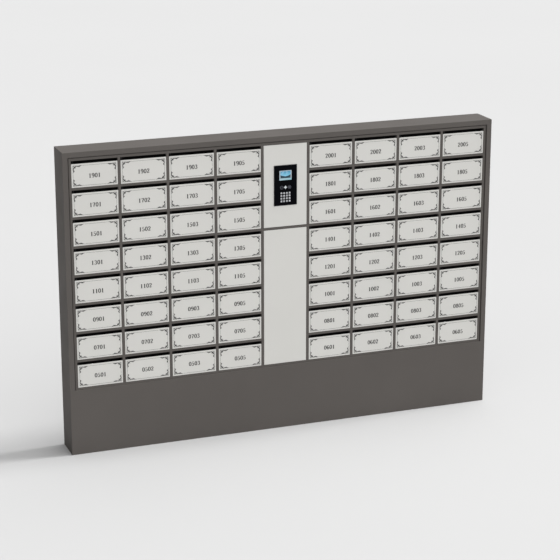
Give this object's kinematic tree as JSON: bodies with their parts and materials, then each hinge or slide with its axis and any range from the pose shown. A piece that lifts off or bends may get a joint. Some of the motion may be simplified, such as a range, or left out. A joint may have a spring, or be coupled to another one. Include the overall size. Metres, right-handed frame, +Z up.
{
  "type": "mailbox and parcel locker bank",
  "caption": "Flat-fronted steel mailbox bank with a letter slot over each hinged door, a keypad terminal and a tall parcel door in a proud surround on a plinth.",
  "frame": {"origin": "bottom centre of the cabinet's box, on the floor", "axes": "+X along the front to the viewer's right, +Y into the cabinet, +Z up; the doors face -Y"},
  "size_m": [2.504, 0.18, 1.7],
  "materials": {
    "frame_paint": "matt fine-textured powder coat",
    "inner_sheet": "matt dark powder coat",
    "door_paint": "matt light-grey powder coat",
    "baffle_black": "matt black",
    "rod_steel": "black oxide",
    "latch_case": "zinc-coloured",
    "controller_case": "matt grey",
    "supply_case": "perforated case look",
    "terminal_plastic": "fine-textured black",
    "terminal_gloss": "gloss black",
    "display": "gloss dark",
    "board": "green solder mask",
    "key_rubber": "light grey rubber"
  },
  "bodies": {
    "cabinet": {"left_side_panel": "frame_paint", "right_side_panel": "frame_paint", "top_panel": "frame_paint", "back_panel": "frame_paint", "base_plate": "frame_paint", "plinth_panel": "frame_paint", "front_surround": "frame_paint", "fascia_stiles": "frame_paint", "fascia_rails": "frame_paint", "compartment_shelves": "inner_sheet", "column_partitions": "inner_sheet", "plinth_supports": "inner_sheet", "slot_baffles": "baffle_black", "hinge_rods": "rod_steel", "latch_units": "latch_case", "lock_controller": "controller_case", "power_supply": "supply_case"},
    "control_door": {"control_door": "door_paint", "terminal_housing": "terminal_plastic", "terminal_front": "terminal_gloss", "display_module": "display", "terminal_board": "board"},
    "keypad": {"keypad": "key_rubber"},
    "parcel_door": {"parcel_door": "door_paint"},
    "door_1901": {"door_1901": "door_paint"},
    "door_1701": {"door_1701": "door_paint"},
    "door_1501": {"door_1501": "door_paint"},
    "door_1301": {"door_1301": "door_paint"},
    "door_1101": {"door_1101": "door_paint"},
    "door_0901": {"door_0901": "door_paint"},
    "door_0701": {"door_0701": "door_paint"},
    "door_0501": {"door_0501": "door_paint"},
    "door_1902": {"door_1902": "door_paint"},
    "door_1702": {"door_1702": "door_paint"},
    "door_1502": {"door_1502": "door_paint"},
    "door_1302": {"door_1302": "door_paint"},
    "door_1102": {"door_1102": "door_paint"},
    "door_0902": {"door_0902": "door_paint"},
    "door_0702": {"door_0702": "door_paint"},
    "door_0502": {"door_0502": "door_paint"},
    "door_1903": {"door_1903": "door_paint"},
    "door_1703": {"door_1703": "door_paint"},
    "door_1503": {"door_1503": "door_paint"},
    "door_1303": {"door_1303": "door_paint"},
    "door_1103": {"door_1103": "door_paint"},
    "door_0903": {"door_0903": "door_paint"},
    "door_0703": {"door_0703": "door_paint"},
    "door_0503": {"door_0503": "door_paint"},
    "door_1905": {"door_1905": "door_paint"},
    "door_1705": {"door_1705": "door_paint"},
    "door_1505": {"door_1505": "door_paint"},
    "door_1305": {"door_1305": "door_paint"},
    "door_1105": {"door_1105": "door_paint"},
    "door_0905": {"door_0905": "door_paint"},
    "door_0705": {"door_0705": "door_paint"},
    "door_0505": {"door_0505": "door_paint"},
    "doors_even_floors_01": {"doors_even_floors_01": "door_paint"},
    "doors_even_floors_02": {"doors_even_floors_02": "door_paint"},
    "doors_even_floors_03": {"doors_even_floors_03": "door_paint"},
    "doors_even_floors_05": {"doors_even_floors_05": "door_paint"}
  },
  "joints": [
    {"name": "control_door_swing", "type": "hinge", "parent": "cabinet", "child": "control_door", "pos_m": [-0.1185, -0.08, 1.41888], "axis": [0, 0, -1], "range_deg": [0, 100]},
    {"name": "parcel_door_swing", "type": "hinge", "parent": "cabinet", "child": "parcel_door", "pos_m": [-0.1185, -0.08, 0.77887], "axis": [0, 0, -1], "range_deg": [0, 100]},
    {"name": "keypad_press", "type": "slide", "parent": "control_door", "child": "keypad", "axis": [0, 1, 0], "range_m": [0, 0.0008], "stiffness_N_per_m": 1200},
    {"name": "doors_even_floors_01_swing", "type": "hinge", "parent": "cabinet", "child": "doors_even_floors_01", "pos_m": [0.151, -0.08, 0.451], "axis": [0, 0, -1], "range_deg": [0, 100]},
    {"name": "doors_even_floors_02_swing", "type": "hinge", "parent": "cabinet", "child": "doors_even_floors_02", "pos_m": [0.4205, -0.08, 0.451], "axis": [0, 0, -1], "range_deg": [0, 100]},
    {"name": "doors_even_floors_03_swing", "type": "hinge", "parent": "cabinet", "child": "doors_even_floors_03", "pos_m": [0.69, -0.08, 0.451], "axis": [0, 0, -1], "range_deg": [0, 100]},
    {"name": "doors_even_floors_05_swing", "type": "hinge", "parent": "cabinet", "child": "doors_even_floors_05", "pos_m": [0.9595, -0.08, 0.451], "axis": [0, 0, -1], "range_deg": [0, 100]},
    {"name": "door_1901_swing", "type": "hinge", "parent": "cabinet", "child": "door_1901", "pos_m": [-1.1965, -0.08, 1.571], "axis": [0, 0, -1], "range_deg": [0, 100]},
    {"name": "door_1701_swing", "type": "hinge", "parent": "cabinet", "child": "door_1701", "pos_m": [-1.1965, -0.08, 1.411], "axis": [0, 0, -1], "range_deg": [0, 100]},
    {"name": "door_1501_swing", "type": "hinge", "parent": "cabinet", "child": "door_1501", "pos_m": [-1.1965, -0.08, 1.251], "axis": [0, 0, -1], "range_deg": [0, 100]},
    {"name": "door_1301_swing", "type": "hinge", "parent": "cabinet", "child": "door_1301", "pos_m": [-1.1965, -0.08, 1.091], "axis": [0, 0, -1], "range_deg": [0, 100]},
    {"name": "door_1101_swing", "type": "hinge", "parent": "cabinet", "child": "door_1101", "pos_m": [-1.1965, -0.08, 0.931], "axis": [0, 0, -1], "range_deg": [0, 100]},
    {"name": "door_0901_swing", "type": "hinge", "parent": "cabinet", "child": "door_0901", "pos_m": [-1.1965, -0.08, 0.771], "axis": [0, 0, -1], "range_deg": [0, 100]},
    {"name": "door_0701_swing", "type": "hinge", "parent": "cabinet", "child": "door_0701", "pos_m": [-1.1965, -0.08, 0.611], "axis": [0, 0, -1], "range_deg": [0, 100]},
    {"name": "door_0501_swing", "type": "hinge", "parent": "cabinet", "child": "door_0501", "pos_m": [-1.1965, -0.08, 0.451], "axis": [0, 0, -1], "range_deg": [0, 100]},
    {"name": "door_1902_swing", "type": "hinge", "parent": "cabinet", "child": "door_1902", "pos_m": [-0.927, -0.08, 1.571], "axis": [0, 0, -1], "range_deg": [0, 100]},
    {"name": "door_1702_swing", "type": "hinge", "parent": "cabinet", "child": "door_1702", "pos_m": [-0.927, -0.08, 1.411], "axis": [0, 0, -1], "range_deg": [0, 100]},
    {"name": "door_1502_swing", "type": "hinge", "parent": "cabinet", "child": "door_1502", "pos_m": [-0.927, -0.08, 1.251], "axis": [0, 0, -1], "range_deg": [0, 100]},
    {"name": "door_1302_swing", "type": "hinge", "parent": "cabinet", "child": "door_1302", "pos_m": [-0.927, -0.08, 1.091], "axis": [0, 0, -1], "range_deg": [0, 100]},
    {"name": "door_1102_swing", "type": "hinge", "parent": "cabinet", "child": "door_1102", "pos_m": [-0.927, -0.08, 0.931], "axis": [0, 0, -1], "range_deg": [0, 100]},
    {"name": "door_0902_swing", "type": "hinge", "parent": "cabinet", "child": "door_0902", "pos_m": [-0.927, -0.08, 0.771], "axis": [0, 0, -1], "range_deg": [0, 100]},
    {"name": "door_0702_swing", "type": "hinge", "parent": "cabinet", "child": "door_0702", "pos_m": [-0.927, -0.08, 0.611], "axis": [0, 0, -1], "range_deg": [0, 100]},
    {"name": "door_0502_swing", "type": "hinge", "parent": "cabinet", "child": "door_0502", "pos_m": [-0.927, -0.08, 0.451], "axis": [0, 0, -1], "range_deg": [0, 100]},
    {"name": "door_1903_swing", "type": "hinge", "parent": "cabinet", "child": "door_1903", "pos_m": [-0.6575, -0.08, 1.571], "axis": [0, 0, -1], "range_deg": [0, 100]},
    {"name": "door_1703_swing", "type": "hinge", "parent": "cabinet", "child": "door_1703", "pos_m": [-0.6575, -0.08, 1.411], "axis": [0, 0, -1], "range_deg": [0, 100]},
    {"name": "door_1503_swing", "type": "hinge", "parent": "cabinet", "child": "door_1503", "pos_m": [-0.6575, -0.08, 1.251], "axis": [0, 0, -1], "range_deg": [0, 100]},
    {"name": "door_1303_swing", "type": "hinge", "parent": "cabinet", "child": "door_1303", "pos_m": [-0.6575, -0.08, 1.091], "axis": [0, 0, -1], "range_deg": [0, 100]},
    {"name": "door_1103_swing", "type": "hinge", "parent": "cabinet", "child": "door_1103", "pos_m": [-0.6575, -0.08, 0.931], "axis": [0, 0, -1], "range_deg": [0, 100]},
    {"name": "door_0903_swing", "type": "hinge", "parent": "cabinet", "child": "door_0903", "pos_m": [-0.6575, -0.08, 0.771], "axis": [0, 0, -1], "range_deg": [0, 100]},
    {"name": "door_0703_swing", "type": "hinge", "parent": "cabinet", "child": "door_0703", "pos_m": [-0.6575, -0.08, 0.611], "axis": [0, 0, -1], "range_deg": [0, 100]},
    {"name": "door_0503_swing", "type": "hinge", "parent": "cabinet", "child": "door_0503", "pos_m": [-0.6575, -0.08, 0.451], "axis": [0, 0, -1], "range_deg": [0, 100]},
    {"name": "door_1905_swing", "type": "hinge", "parent": "cabinet", "child": "door_1905", "pos_m": [-0.388, -0.08, 1.571], "axis": [0, 0, -1], "range_deg": [0, 100]},
    {"name": "door_1705_swing", "type": "hinge", "parent": "cabinet", "child": "door_1705", "pos_m": [-0.388, -0.08, 1.411], "axis": [0, 0, -1], "range_deg": [0, 100]},
    {"name": "door_1505_swing", "type": "hinge", "parent": "cabinet", "child": "door_1505", "pos_m": [-0.388, -0.08, 1.251], "axis": [0, 0, -1], "range_deg": [0, 100]},
    {"name": "door_1305_swing", "type": "hinge", "parent": "cabinet", "child": "door_1305", "pos_m": [-0.388, -0.08, 1.091], "axis": [0, 0, -1], "range_deg": [0, 100]},
    {"name": "door_1105_swing", "type": "hinge", "parent": "cabinet", "child": "door_1105", "pos_m": [-0.388, -0.08, 0.931], "axis": [0, 0, -1], "range_deg": [0, 100]},
    {"name": "door_0905_swing", "type": "hinge", "parent": "cabinet", "child": "door_0905", "pos_m": [-0.388, -0.08, 0.771], "axis": [0, 0, -1], "range_deg": [0, 100]},
    {"name": "door_0705_swing", "type": "hinge", "parent": "cabinet", "child": "door_0705", "pos_m": [-0.388, -0.08, 0.611], "axis": [0, 0, -1], "range_deg": [0, 100]},
    {"name": "door_0505_swing", "type": "hinge", "parent": "cabinet", "child": "door_0505", "pos_m": [-0.388, -0.08, 0.451], "axis": [0, 0, -1], "range_deg": [0, 100]}
  ]
}
